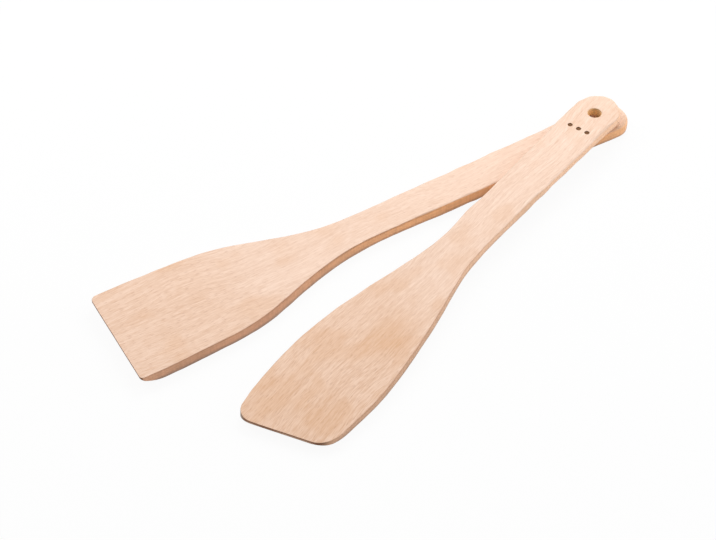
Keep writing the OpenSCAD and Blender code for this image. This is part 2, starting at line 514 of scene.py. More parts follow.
class BoardMesh:
    """Closed quad mesh of one board: faces, eased edges, sawn wall and hanging hole."""

    cut = -0.011
    end_steps = 56
    ring_steps = 7
    ease_steps = 4
    wall_steps = 3
    support = 0.0004
    corner_step = 0.0003
    step_growth = 1.25
    side_step = 0.0015
    tip_step = 0.0030
    tip_reach = 0.030
    rim_eased = 0.0005
    uneven_wave = 0.011
    unevenness = 0.7
    most_eased = 0.38
    soft_run = 0.090
    crisp_tip = 0.4
    crisp_run = 0.030
    worn_run = 0.026

    def __init__(self, board, seed):
        self.board = board
        self.seed = seed
        self.bm = bmesh.new()
        left, tip, right, end = board.outline(self.cut)
        share = graded(1.0, self.corner_step / lengths(left)[-1], self.step_growth,
                       self.side_step / lengths(left)[-1])
        left, right = (resample(side, [(1 - s) * lengths(side)[-1] for s in share[::-1]])
                       for side in (left, right))
        tip = resample(tip, graded_both(lengths(tip)[-1], self.corner_step, self.step_growth,
                                        self.tip_step))
        end = resample(end, spaced(lengths(end)[-1], self.end_steps))
        self.across = len(tip) - 1
        # One closed run: left edge, tip, right edge back, round end back to the start
        self.rim = left + tip[1:] + right[-2::-1] + end[-2:0:-1]
        self.n_side = len(left) - 1
        self.rim_in = self.inward_of(self.rim)

    def inward_of(self, rim):
        """Unit vectors into the board at each point of the closed run."""
        count = len(rim)
        out = []
        for i in range(count):
            along = rim[(i + 1) % count] - rim[i - 1]
            out.append(Vector((-along.y, along.x)).normalized())
        return out

    def ease_radius(self, point, at_end, worn):
        """Hand sanding leaves the edges uneven, crisp at the tip and softer on the handle.

        The right side of the round end is the softest, by the share worn.
        """
        b = self.board
        place = Vector((point.x, point.y, self.seed)) / self.uneven_wave
        rough = noise.noise(place) + 0.5 * noise.noise(place * 2.3)
        share = ease((point.x - b.neck) / self.soft_run)
        radius = b.sizes.eased_blade * (1 - share) + at_end * share
        radius *= self.crisp_tip + (1 - self.crisp_tip) * ease(b.from_tip(point) / self.crisp_run)
        radius *= 1 + (worn * ease((point.x - b.head) / self.worn_run + 1)
                       * ease(-2 * point.y / b.sizes.end_width))
        thick = b.sizes.thickness - b.underside(point)
        return min(radius * (1 + self.unevenness * rough), self.most_eased * thick)

    def layers(self):
        """Closed runs of points from the top face over the edge to the underside."""
        b = self.board
        top, quarter = b.sizes.thickness, math.pi / 2
        radius = [(self.ease_radius(p, b.sizes.eased_handle, b.sizes.end_worn),
                   self.ease_radius(p, b.sizes.eased_under, 0.0)) for p in self.rim]
        rows = []

        def layer(drop, inset, height):
            row = []
            for point, inward, (above, under) in zip(self.rim, self.rim_in, radius):
                out = (1 - drop) * b.stands_out(point, False) + drop * b.stands_out(point, True)
                flat = point + (inset(above, under) - out) * inward
                row.append(Vector((flat.x, flat.y, height(above, under, b.underside(flat)))))
            rows.append(row)

        layer(0, lambda r, q: r + self.support, lambda r, q, low: top)
        turns = [quarter * k / self.ease_steps for k in range(self.ease_steps + 1)]
        for turn in turns:
            sine, cosine = math.sin(turn), math.cos(turn)
            layer(0, lambda r, q: r * (1 - sine), lambda r, q, low: top - r * (1 - cosine))
        for k in range(1, self.wall_steps):
            t = k / self.wall_steps
            layer(t, lambda r, q: 0.0, lambda r, q, low: (top - r) * (1 - t) + (low + q) * t)
        for turn in turns[::-1]:
            sine, cosine = math.sin(turn), math.cos(turn)
            layer(1, lambda r, q: q * (1 - sine), lambda r, q, low: low + q * (1 - cosine))
        layer(1, lambda r, q: q + self.support, lambda r, q, low: low)
        return rows

    def face_grid(self, row):
        """Grid of points over the blade and handle: even at the cut line, fitted to the tip."""
        n, m = self.n_side, self.across
        left = row[:n + 1]
        tip = row[n:n + m + 1]
        right = row[n + m:2 * n + m + 1][::-1]
        along = lengths(left)
        over = [d / lengths(tip)[-1] for d in lengths(tip)]
        grid = []
        for i in range(n + 1):
            near = ease(1 - (along[-1] - along[i]) / self.tip_reach)
            line = []
            for j in range(m + 1):
                t = (1 - near) * j / m + near * over[j]
                bulge = tip[j] - tip[0].lerp(tip[-1], over[j])
                line.append(left[i].lerp(right[i], t) + near * bulge)
            grid.append(line)
        return grid

    def end_ring(self, row, grid):
        """Closed run round the hole end: the cut line, then the edge and the round end."""
        n, m = self.n_side, self.across
        start = 2 * n + m
        return [point.copy() for point in grid[0]] + row[start + 1:]

    def quads(self, rows, closed=False):
        """Quads between neighbouring rows of vertices."""
        for a, b in zip(rows, rows[1:]):
            count = len(a)
            for i in range(count if closed else count - 1):
                j = (i + 1) % count
                self.bm.faces.new((a[i], a[j], b[j], b[i]))

    def vertices(self, rows):
        return [[self.bm.verts.new(p) for p in row] for row in rows]

    def hole_row(self, inset, height):
        """Circle round the hole, with a point facing each point of the run round its end."""
        radius = self.board.pair.hole_diameter / 2 + inset
        out = []
        for point in self.end_ring(self.rim, self.face_grid(self.rim)):
            ray = point.normalized() * radius
            out.append(Vector((ray.x, ray.y, height)))
        return out

    def build(self, name, placement=Matrix()):
        """Makes the mesh object, with its placement in the mesh."""
        b = self.board
        top = b.sizes.thickness
        rows = self.layers()
        rim_eased = self.rim_eased
        self.quads(self.vertices(rows), closed=True)
        for row, height in ((rows[0], top), (rows[-1], 0.0)):
            grid = self.face_grid(row)
            for line in grid:
                for point in line:
                    point.z = top if height else b.underside(point.xy)
            self.quads(self.vertices(grid))
            outer = self.end_ring(row, grid)
            inner = self.hole_row(rim_eased + self.support, height)
            rings = []
            for k in range(self.ring_steps + 1):
                t = k / self.ring_steps
                rings.append([p.lerp(q, t) for p, q in zip(outer, inner)])
            self.quads(self.vertices(rings), closed=True)
        wall = []
        for k in range(self.ease_steps + 1):
            a = math.pi / 2 * k / self.ease_steps
            wall.append((rim_eased * (1 - math.sin(a)), top - rim_eased * (1 - math.cos(a))))
        wall.insert(0, (rim_eased + self.support, top))
        wall += [(w[0], top - w[1]) for w in wall[::-1]]
        self.quads(self.vertices([self.hole_row(w[0], w[1]) for w in wall]), closed=True)
        bmesh.ops.remove_doubles(self.bm, verts=self.bm.verts, dist=2e-6)
        bmesh.ops.recalc_face_normals(self.bm, faces=self.bm.faces)
        for face in self.bm.faces:
            face.smooth = True
        bmesh.ops.transform(self.bm, matrix=placement, verts=self.bm.verts)
        mesh = bpy.data.meshes.new(name)
        self.bm.to_mesh(mesh)
        self.bm.free()
        piece = bpy.data.objects.new(name, mesh)
        bpy.context.scene.collection.objects.link(piece)
        weighted = piece.modifiers.new("flat faces stay flat", "WEIGHTED_NORMAL")
        weighted.weight = 80
        weighted.keep_sharp = False
        return piece


def lay_upper(lower, upper):
    """Places the upper turner: it pivots where its bevel starts until it rests on the lower handle."""
    pair, slant = upper.pair, upper.sizes.tip_slant
    fan = pair.fan_angle
    reach = 0.0
    for _ in range(upper.solve_steps):
        across = lower.half(-pair.hole_lag - reach * math.cos(fan))
        reach = (upper.half(-reach) * math.cos(fan) + across) / math.sin(fan)
    foot = upper.tip + pair.bevel_run / math.cos(slant)
    run = (-reach - foot) * math.cos(slant) + upper.half(-reach) * math.sin(slant)
    pitch = math.asin((lower.sizes.thickness + pair.seat_gap) / run)
    return (Matrix.Translation((-pair.hole_lag, 0, 0))
            @ Matrix.Rotation(fan, 4, "Z")
            @ Matrix.Translation((foot, 0, 0))
            @ Matrix.Rotation(slant, 4, "Z")
            @ Matrix.Rotation(-pitch, 4, "Y")
            @ Matrix.Rotation(-slant, 4, "Z")
            @ Matrix.Translation((-foot, 0, 0)))


# Materials

def add_node(tree, kind, inputs=None, **settings):
    """Adds one node with its settings; an input is a socket or node to link, or a value to set."""
    node = tree.nodes.new(kind)
    for name, value in settings.items():
        setattr(node, name, value)
    for key, value in (inputs or {}).items():
        if isinstance(value, bpy.types.Node):
            value = next(socket for socket in value.outputs if socket.enabled)
        if isinstance(value, bpy.types.NodeSocket):
            tree.links.new(value, node.inputs[key])
        else:
            node.inputs[key].default_value = value
    return node


def new_material(name):
    """Empty node material with its output and surface shader."""
    material = bpy.data.materials.new(name)
    material.use_nodes = True
    tree = material.node_tree
    tree.nodes.clear()
    output = add_node(tree, "ShaderNodeOutputMaterial")
    shader = add_node(tree, "ShaderNodeBsdfPrincipled")
    tree.links.new(shader.outputs["BSDF"], output.inputs["Surface"])
    return material, tree, shader


# Patterns of the grain: the size of one along the board, across it and through it in mm, then
# its detail, roughness and weight in the tone. Beech has soft growth bands, straight streaks
# of fibres, finer ones that are drawn twice as coarse as they are so that they show, and
# faint clouds.
GRAIN = {
    "bands": ((150.0, 2.8, 5.0), 1.0, 0.5, 0.15),
    "streaks": ((42.0, 0.9, 0.9), 1.0, 0.5, 0.18),
    "fibres": ((5.0, 0.42, 0.42), 1.0, 0.6, 0.38),
    "clouds": ((33.0, 20.0, 20.0), 1.0, 0.5, 0.04),
    "stains": ((22.0, 16.0, 16.0), 1.0, 0.5, 0.0),
    "saw marks": ((1.3, 60.0, 60.0), 2.0, 0.6, 0.0),
}
# Rays: the room for each in mm along and across the board, and their half widths as a share
RAY_ROOM = (5.0, 0.8)
RAY_THIN, RAY_WIDE = 0.16, 0.34
# The drill leaves a ring for each turn, in mm
RING_PITCH = 1.3


def beech(name, finish, board, placement, look):
    """Beech, planed on the faces, sawn and sanded on the edges, left bare.

    Bare sanded beech is matt and pale, with fine straight fibres along the board, soft
    growth bands a few mm wide and many short dark rays, 1 to 3 mm long. Sawn edges drink
    the light and look browner, and are darker towards the blades with painted shade. A
    painted shade line darkens the rounded corners, and a painted contact shadow the foot of
    each edge. Thin end grain at the tips is the darkest, partly with painted shade. Wood
    from near the heart of the log is warmer, and a painted warm shade lies on the lower
    round end.
    """
    material, tree, shader = new_material(name)
    coords = add_node(tree, "ShaderNodeTexCoord")
    # Board coordinates in mm, then moved so that each board is from another place in the log
    turn = placement.to_euler()
    own = add_node(tree, "ShaderNodeMapping", {
        "Vector": coords.outputs["Object"], "Location": placement.translation,
        "Rotation": turn, "Scale": (MM, MM, MM)}, vector_type="TEXTURE")
    own_parts = add_node(tree, "ShaderNodeSeparateXYZ", {"Vector": own})
    place = add_node(tree, "ShaderNodeVectorMath", {0: own, 1: look["log place"]}, operation="ADD")
    # The grain wanders by a few mm over a decimetre
    wander = add_node(tree, "ShaderNodeTexNoise", {
        "Vector": place, "Scale": 1 / 77, "Detail": 3.0, "Roughness": 0.35})
    sway = add_node(tree, "ShaderNodeVectorMath", {
        0: wander.outputs["Color"], 1: (0.5, 0.5, 0.5)}, operation="SUBTRACT")
    grain = add_node(tree, "ShaderNodeVectorMath", {
        0: sway, 1: (0.0, 16.0, 6.0), 2: place}, operation="MULTIPLY_ADD")

    # Each pattern as a value around 0, and the tone as their weighted sum. Handling has made
    # the grain of the handles fainter than that of the blades.
    figure = {}
    tone = 0.0
    clear = add_node(tree, "ShaderNodeMapRange", {
        "Value": own_parts.outputs["X"], "From Min": board.shoulder / MM,
        "From Max": (board.shoulder + 2 * board.neck) / 3 / MM, "To Min": 1.0,
        "To Max": look["handle grain"]},
        interpolation_type="SMOOTHSTEP")
    for pattern, (size, detail, roughness, weight) in GRAIN.items():
        scaled = add_node(tree, "ShaderNodeVectorMath", {
            0: grain, 1: [1 / length for length in size]}, operation="MULTIPLY")
        noisy = add_node(tree, "ShaderNodeTexNoise", {
            "Vector": scaled, "Scale": 1.0, "Detail": detail, "Roughness": roughness})
        figure[pattern] = add_node(tree, "ShaderNodeMapRange", {
            "Value": noisy, "From Min": 0.3, "From Max": 0.7, "To Min": -1.0, "To Max": 1.0},
            clamp=False)
        if weight:
            tone = add_node(tree, "ShaderNodeMath", {
                0: figure[pattern], 1: weight * look["contrast"], 2: tone},
                operation="MULTIPLY_ADD")
    tone = add_node(tree, "ShaderNodeMath", {0: tone, 1: clear, 2: look["tone"]},
                    operation="MULTIPLY_ADD", use_clamp=True)
    face = add_node(tree, "ShaderNodeMix", {
        "Factor": tone, "A": (*finish.pale, 1), "B": (*finish.warm, 1)}, data_type="RGBA")

    # Wood from near the heart of the log, in faint stains and in stretches of the board. The stretch on the
    # lower round end is painted shade, under the upper end.
    heart = add_node(tree, "ShaderNodeMapRange", {
        "Value": figure["stains"], "From Min": 0.1, "From Max": 1.1, "To Max": 0.22},
        interpolation_type="SMOOTHSTEP")
    for heart_from, heart_to, amount in look["heart"]:
        stretch = add_node(tree, "ShaderNodeMapRange", {
            "Value": own_parts.outputs["X"], "From Min": heart_from, "From Max": heart_to,
            "To Max": amount}, interpolation_type="SMOOTHSTEP")
        heart = add_node(tree, "ShaderNodeMath", {0: heart, 1: stretch}, operation="ADD")
    # Small warm patches: where the saw passed close to a pin knot on the upper blade, and a painted warm shade
    # on the lower round end, under the upper end
    for patch_at, (patch_length, patch_width), amount in look["warm_patches_and_shade"]:
        shift = add_node(tree, "ShaderNodeVectorMath", {0: own, 1: patch_at}, operation="SUBTRACT")
        shift = add_node(tree, "ShaderNodeVectorMath", {
            0: shift, 1: (2 / patch_length, 2 / patch_width, 0.0)}, operation="MULTIPLY")
        spread = add_node(tree, "ShaderNodeVectorMath", {0: shift}, operation="LENGTH")
        patch = add_node(tree, "ShaderNodeMapRange", {
            "Value": spread.outputs["Value"], "From Min": 1.0, "From Max": 0.1,
            "To Max": amount}, interpolation_type="SMOOTHSTEP")
        heart = add_node(tree, "ShaderNodeMath", {0: heart, 1: patch}, operation="ADD")
    face = add_node(tree, "ShaderNodeMix", {
        "Factor": heart, "A": face, "B": (*finish.heart, 1)}, data_type="RGBA")

    # Short rays: at most one in each room, drawn wider than their 0.2 mm so that they show
    parts = add_node(tree, "ShaderNodeSeparateXYZ", {"Vector": grain})
    across = add_node(tree, "ShaderNodeMath", {
        0: parts.outputs["Z"], 1: 1.3, 2: parts.outputs["Y"]}, operation="MULTIPLY_ADD")
    room_x = add_node(tree, "ShaderNodeMath", {
        0: parts.outputs["X"], 1: RAY_ROOM[0]}, operation="DIVIDE")
    room_y = add_node(tree, "ShaderNodeMath", {0: across, 1: RAY_ROOM[1]}, operation="DIVIDE")
    rooms = add_node(tree, "ShaderNodeCombineXYZ", {"X": room_x, "Y": room_y})
    rays = add_node(tree, "ShaderNodeTexVoronoi", {
        "Vector": rooms, "Scale": 1.0, "Randomness": 1.0},
        voronoi_dimensions="2D", feature="F1", distance="EUCLIDEAN")
    pick = add_node(tree, "ShaderNodeSeparateColor", {"Color": rays.outputs["Color"]})
    width = add_node(tree, "ShaderNodeMapRange", {
        "Value": pick.outputs["Green"], "To Min": RAY_THIN, "To Max": RAY_WIDE})
    spread = add_node(tree, "ShaderNodeMath", {
        0: rays.outputs["Distance"], 1: width}, operation="DIVIDE")
    inside = add_node(tree, "ShaderNodeMapRange", {
        "Value": spread, "From Min": 1.0, "From Max": 0.4}, interpolation_type="SMOOTHSTEP")
    depth = add_node(tree, "ShaderNodeMapRange", {
        "Value": pick.outputs["Red"], "From Min": 0.3, "From Max": 1.0,
        "To Max": look["rays"]}, interpolation_type="SMOOTHSTEP")
    ray = add_node(tree, "ShaderNodeMath", {0: inside, 1: depth}, operation="MULTIPLY")
    ray = add_node(tree, "ShaderNodeMath", {0: ray, 1: clear}, operation="MULTIPLY")
    face = add_node(tree, "ShaderNodeMix", {
        "Factor": ray, "A": face, "B": (*finish.fleck, 1)}, data_type="RGBA")

    # Sawn edges: their tone changes from the blade to the handle, partly in the wood and partly with painted
    # shade that darkens them towards the blades, with faint saw marks
    along = add_node(tree, "ShaderNodeMapRange", {
        "Value": own_parts.outputs["X"], "From Min": look["blade ends"],
        "From Max": look["handle starts"]}, interpolation_type="SMOOTHSTEP")
    sawn = add_node(tree, "ShaderNodeMix", {
        "Factor": along, "A": (*look["blade edge"], 1), "B": (*look["handle edge"], 1)},
        data_type="RGBA")
    sheen = 1.0
    for pattern, weight in (("streaks", 0.06), ("clouds", 0.07), ("saw marks", 0.07)):
        sheen = add_node(tree, "ShaderNodeMath", {
            0: figure[pattern], 1: weight, 2: sheen}, operation="MULTIPLY_ADD")
    # A thin darker line runs just under the upper corner until the handle's corners are soft
    crisp = add_node(tree, "ShaderNodeMapRange", {
        "Value": own_parts.outputs["X"], "From Min": look["soft from"] + 40.0,
        "From Max": look["soft from"]}, interpolation_type="SMOOTHSTEP")
    crest = board.sizes.thickness / MM
    line = add_node(tree, "ShaderNodeMapRange", {
        "Value": own_parts.outputs["Z"], "From Min": crest - 1.6, "From Max": crest - 0.6,
        "To Max": look["line"]}, interpolation_type="SMOOTHSTEP")
    line = add_node(tree, "ShaderNodeMath", {0: line, 1: crisp}, operation="MULTIPLY")
    onward = add_node(tree, "ShaderNodeMapRange", {
        "Value": own_parts.outputs["X"], "From Min": board.tip / MM, "From Max": board.neck / MM,
        "To Min": 0.0, "To Max": 1.8})
    line = add_node(tree, "ShaderNodeMath", {0: line, 1: onward}, operation="MULTIPLY")
    sheen = add_node(tree, "ShaderNodeMath", {0: sheen, 1: line}, operation="SUBTRACT")
    sawn = add_node(tree, "ShaderNodeVectorMath", {0: sawn, "Scale": sheen}, operation="SCALE")
    # Painted contact shadow: the foot of the edge is darker and greyer near the table, most of all at the
    # blade
    low_down = add_node(tree, "ShaderNodeMapRange", {
        "Value": own_parts.outputs["Z"], "From Min": 2.9, "From Max": 0.6,
        "To Max": look["foot"]}, interpolation_type="SMOOTHSTEP")
    ahead = add_node(tree, "ShaderNodeMapRange", {
        "Value": along, "To Min": 1.0, "To Max": 0.67})
    foot = add_node(tree, "ShaderNodeMath", {0: low_down, 1: ahead}, operation="MULTIPLY")
    sawn = add_node(tree, "ShaderNodeMix", {
        "Factor": foot, "A": sawn, "B": (*finish.foot, 1)}, data_type="RGBA")

    # Edges, corners and tips are told by where the surface faces on the board
    own_normal = add_node(tree, "ShaderNodeMapping", {
        "Vector": coords.outputs["Normal"], "Rotation": turn}, vector_type="TEXTURE")
    facing = add_node(tree, "ShaderNodeSeparateXYZ", {"Vector": own_normal})
    rise = add_node(tree, "ShaderNodeMath", {0: facing.outputs["Z"]}, operation="ABSOLUTE")

    # Inside the hanging hole the wood is clean, with the rings that the drill left. It is
    # darker where the drill cut across the fibres than where it ran along them.
    flat = add_node(tree, "ShaderNodeVectorMath", {0: own, 1: (1, 1, 0)}, operation="MULTIPLY")
    radius = add_node(tree, "ShaderNodeVectorMath", {0: flat}, operation="LENGTH")
    bore = board.pair.hole_diameter / 2 / MM
    in_hole = add_node(tree, "ShaderNodeMapRange", {
        "Value": radius.outputs["Value"], "From Min": bore + 1.5, "From Max": bore + 0.5})
    outside = add_node(tree, "ShaderNodeMath", {0: 1.0, 1: in_hole}, operation="SUBTRACT")
    turns = add_node(tree, "ShaderNodeMath", {
        0: own_parts.outputs["Z"], 1: math.tau / RING_PITCH}, operation="MULTIPLY")
    turns = add_node(tree, "ShaderNodeMath", {0: turns}, operation="SINE")
    turns = add_node(tree, "ShaderNodeMath", {0: turns, 1: 0.16, 2: 1.12}, operation="MULTIPLY_ADD")
    cut_across = add_node(tree, "ShaderNodeMath", {0: facing.outputs["X"]}, operation="ABSOLUTE")
    cut_across = add_node(tree, "ShaderNodeMapRange", {
        "Value": cut_across, "From Min": 0.3, "From Max": 0.95, "To Min": 1.0, "To Max": 0.72},
        interpolation_type="SMOOTHSTEP")
    turns = add_node(tree, "ShaderNodeMath", {0: turns, 1: cut_across}, operation="MULTIPLY")
    drilled = add_node(tree, "ShaderNodeVectorMath", {
        0: finish.drilled, "Scale": turns}, operation="SCALE")
    sawn = add_node(tree, "ShaderNodeMix", {
        "Factor": in_hole, "A": sawn, "B": drilled}, data_type="RGBA")

    # Thin end grain at the tip, darkened partly as end grain and partly with painted shade, and a band of end
    # grain at the round end
    ahead = add_node(tree, "ShaderNodeMapRange", {
        "Value": facing.outputs["X"], "From Min": -0.3, "From Max": -0.75},
        interpolation_type="SMOOTHSTEP")
    at_tip = add_node(tree, "ShaderNodeMapRange", {
        "Value": own_parts.outputs["X"], "From Min": board.shoulder / MM,
        "From Max": board.tip / MM + 12.0}, interpolation_type="SMOOTHSTEP")
    tip_grain_and_shade = add_node(tree, "ShaderNodeMath", {0: ahead, 1: at_tip}, operation="MULTIPLY")
    sawn = add_node(tree, "ShaderNodeMix", {
        "Factor": tip_grain_and_shade, "A": sawn, "B": (*finish.tip_edge, 1)}, data_type="RGBA")
    behind = add_node(tree, "ShaderNodeMapRange", {
        "Value": facing.outputs["X"], "From Min": 0.2, "From Max": 0.9, "To Max": 0.8},
        interpolation_type="SMOOTHSTEP")
    at_end = add_node(tree, "ShaderNodeMapRange", {
        "Value": own_parts.outputs["X"], "From Min": board.head / MM - 6.0,
        "From Max": board.head / MM})
    behind = add_node(tree, "ShaderNodeMath", {0: behind, 1: at_end}, operation="MULTIPLY")
    behind = add_node(tree, "ShaderNodeMath", {0: behind, 1: outside}, operation="MULTIPLY")
    sawn = add_node(tree, "ShaderNodeMix", {
        "Factor": behind, "A": sawn, "B": (*finish.round_end, 1)}, data_type="RGBA")
    steep = add_node(tree, "ShaderNodeMapRange", {
        "Value": rise, "From Min": 0.93, "From Max": 0.5}, interpolation_type="SMOOTHSTEP")
    colour = add_node(tree, "ShaderNodeMix", {
        "Factor": steep, "A": face, "B": sawn}, data_type="RGBA")
    # Painted shade: a darker line on the rounded corners, top and bottom, fading out where the handle's
    # corners are soft
    corner = add_node(tree, "ShaderNodeMapRange", {
        "Value": rise, "From Min": 0.05, "From Max": 0.4, "To Max": look["arris_shade"]},
        interpolation_type="SMOOTHSTEP")
    below_face = add_node(tree, "ShaderNodeMapRange", {
        "Value": rise, "From Min": 0.99, "From Max": 0.85}, interpolation_type="SMOOTHSTEP")
    arris_shade = add_node(tree, "ShaderNodeMath", {0: corner, 1: below_face}, operation="MULTIPLY")
    arris_shade = add_node(tree, "ShaderNodeMath", {0: arris_shade, 1: crisp}, operation="MULTIPLY")
    colour = add_node(tree, "ShaderNodeMix", {
        "Factor": arris_shade, "A": colour, "B": (*finish.arris, 1)}, data_type="RGBA")
    # The left corners are greyer
    left = add_node(tree, "ShaderNodeMapRange", {
        "Value": facing.outputs["Y"], "From Min": 0.05, "From Max": 0.4, "To Max": 0.3},
        interpolation_type="SMOOTHSTEP")
    left = add_node(tree, "ShaderNodeMath", {0: left, 1: outside}, operation="MULTIPLY")
    colour = add_node(tree, "ShaderNodeMix", {
        "Factor": left, "A": colour, "B": (*finish.grey_left_corner, 1)}, data_type="RGBA")
    tree.links.new(colour.outputs["Result"], shader.inputs["Base Color"])

    # Sanding leaves fine scratches along the grain, and each ray is a faint pit
    relief = add_node(tree, "ShaderNodeMath", {
        0: ray, 1: -1.0, 2: figure["fibres"]}, operation="MULTIPLY_ADD")
    bump = add_node(tree, "ShaderNodeBump", {"Height": relief, "Strength": 0.35, "Distance": 0.00006})
    tree.links.new(bump.outputs["Normal"], shader.inputs["Normal"])
    matt = add_node(tree, "ShaderNodeMapRange", {
        "Value": figure["fibres"], "From Min": -1.0, "To Min": 0.46, "To Max": 0.56})
    tree.links.new(matt.outputs["Result"], shader.inputs["Roughness"])
    # The cut fibres scatter most of the gloss
    shader.inputs["IOR"].default_value = 1.5
    shader.inputs["Specular IOR Level"].default_value = 0.25
    return material


def burnt_wood(finish):
    """Beech scorched by a hot iron: dark brown, matt and slightly cracked along the grain."""
    material, tree, shader = new_material("burnt beech")
    coords = add_node(tree, "ShaderNodeTexCoord")
    char = add_node(tree, "ShaderNodeMapping", {
        "Vector": coords.outputs["Object"], "Scale": (700, 2600, 2600)})
    cracks = add_node(tree, "ShaderNodeTexNoise", {
        "Vector": char.outputs["Vector"], "Scale": 1.0, "Detail": 3.0})
    tone = add_node(tree, "ShaderNodeMapRange", {
        "Value": cracks.outputs["Fac"], "From Min": 0.3, "From Max": 0.7,
        "To Min": 0.75, "To Max": 1.35}, clamp=False)
    colour = add_node(tree, "ShaderNodeVectorMath", {
        0: (*finish.burnt,), "Scale": tone.outputs["Result"]}, operation="SCALE")
    tree.links.new(colour.outputs["Vector"], shader.inputs["Base Color"])
    bump = add_node(tree, "ShaderNodeBump", {
        "Height": cracks.outputs["Fac"], "Strength": 0.4, "Distance": 0.0001})
    tree.links.new(bump.outputs["Normal"], shader.inputs["Normal"])
    shader.inputs["Roughness"].default_value = 0.85
    shader.inputs["Specular IOR Level"].default_value = 0.2
    return material


def seen_rays(tree):
    """1 for the rays that show the background: the camera's own, in gloss and through glass."""
    path = add_node(tree, "ShaderNodeLightPath")
    seen = path.outputs["Is Camera Ray"]
    for ray in ("Is Glossy Ray", "Is Transmission Ray"):
        seen = add_node(tree, "ShaderNodeMath", {
            0: seen, 1: path.outputs[ray]}, operation="MAXIMUM")
    return seen


# Operators

class TURNERS_OT_lower_turner(bpy.types.Operator):
    """Builds the lower turner, with the square blade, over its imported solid"""
    bl_idname = "turners.lower_turner"
    bl_label = "Lower turner"

    def execute(self, context):
        scene = context.scene
        finish = scene.beech_finish
        board = Board(scene.lower_turner_sizes, scene.pair_sizes, LOWER_FULLNESS)
        piece = BoardMesh(board, 0.7).build("lower_turner_board")
        look = {"log place": (35.0, 210.0, 14.0), "tone": 0.40, "contrast": 0.90, "rays": 0.30,
                "handle grain": 0.65,
                # The last heart stretch and the patch are painted warm shade on the round end, under the upper
                # end
                "heart": ((-225.0, -265.0, 0.17), (-14.0, 0.0, 0.12)), "warm_patches_and_shade": (((4.0, -9.0, 0.0), (28.0, 10.0), 0.4),),
                "blade ends": -250.0, "handle starts": -125.0, "soft from": -148.0,
                "line": 0.12, "foot": 0.72, "arris_shade": 0.3,
                "blade edge": finish.lower_blade_edge, "handle edge": finish.lower_handle_edge}
        piece.data.materials.append(beech("beech, square turner", finish, board, Matrix(), look))
        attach(piece, "lower")
        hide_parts("lower_turner")
        return {"FINISHED"}


class TURNERS_OT_upper_turner(bpy.types.Operator):
    """Builds the upper turner, with the paddle blade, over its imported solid"""
    bl_idname = "turners.upper_turner"
    bl_label = "Upper turner"

    def execute(self, context):
        scene = context.scene
        finish = scene.beech_finish
        lower = Board(scene.lower_turner_sizes, scene.pair_sizes, LOWER_FULLNESS)
        board = Board(scene.upper_turner_sizes, scene.pair_sizes, UPPER_FULLNESS)
        placement = lay_upper(lower, board)
        piece = BoardMesh(board, 2.9).build("upper_turner_board", placement)
        look = {"log place": (-120.0, 480.0, 67.0), "tone": 0.40, "contrast": 1.40, "rays": 0.26,
                "handle grain": 0.5,
                "heart": ((-150.0, -200.0, 0.24), (-225.0, -275.0, 0.08), (-30.0, 0.0, 0.12)),
                "warm_patches_and_shade": (((-205.0, -8.0, 0.0), (50.0, 27.0), 0.34),),
                "blade ends": -198.0, "handle starts": -101.0, "soft from": -134.0,
                "line": 0.04, "foot": 0.38, "arris_shade": 0.16,
                "blade edge": finish.upper_blade_edge, "handle edge": finish.upper_handle_edge}
        piece.data.materials.append(beech("beech, paddle turner", finish, board, placement, look))
        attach(piece, "upper")
        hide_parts("upper_turner")
        return {"FINISHED"}


class TURNERS_OT_burnt_dots(bpy.types.Operator):
    """Burns a row of plain round dots into the upper handle, next to its hole"""
    bl_idname = "turners.burnt_dots"
    bl_label = "Burnt dots"

    def execute(self, context):
        pair = context.scene.pair_sizes
        lower = Board(context.scene.lower_turner_sizes, pair, LOWER_FULLNESS)
        board = Board(context.scene.upper_turner_sizes, pair, UPPER_FULLNESS)
        piece = bpy.data.objects["upper_turner_board"]
        piece.data.materials.append(burnt_wood(context.scene.beech_finish))
        bm = bmesh.new()
        for step in (-1, 0, 1):
            self.add_dot(bm, pair, board.sizes.thickness, step * pair.dot_spacing)
        mesh = bpy.data.meshes.new("dot irons")
        bm.to_mesh(mesh)
        bm.free()
        mesh.materials.append(piece.data.materials[-1])
        irons = bpy.data.objects.new("dot irons", mesh)
        context.scene.collection.objects.link(irons)
        irons.matrix_world = lay_upper(lower, board)
        cut = piece.modifiers.new("burnt dots", "BOOLEAN")
        cut.operation = "DIFFERENCE"
        cut.solver = "EXACT"
        cut.material_mode = "TRANSFER"
        cut.object = irons
        piece.modifiers.move(len(piece.modifiers) - 1, 0)
        context.view_layer.update()
        shaped = bpy.data.meshes.new_from_object(
            piece.evaluated_get(context.evaluated_depsgraph_get()))
        old, piece.data = piece.data, shaped
        piece.modifiers.clear()
        bpy.data.meshes.remove(old)
        bpy.data.objects.remove(irons)
        return {"FINISHED"}

    def add_dot(self, bm, pair, top, offset):
        """Blunt round iron, domed below, that reaches down to the dot's depth."""
        radius, sides = pair.dot_diameter / 2, 28
        centre = Vector((-pair.dot_distance, offset, 0))
        profile = ((1.06, 0.0006), (1.03, 0.0002), (0.96, -0.6 * pair.dot_depth),
                   (0.82, -0.92 * pair.dot_depth), (0.45, -pair.dot_depth))
        rings = []
        for share, height in profile:
            rings.append([bm.verts.new(centre + Vector((
                radius * share * math.cos(2 * math.pi * i / sides),
                radius * share * math.sin(2 * math.pi * i / sides), top + height)))
                for i in range(sides)])
        for a, b in zip(rings, rings[1:]):
            for i in range(sides):
                j = (i + 1) % sides
                bm.faces.new((a[i], b[i], b[j], a[j]))
        bm.faces.new(rings[0])
        bm.faces.new(rings[-1][::-1])


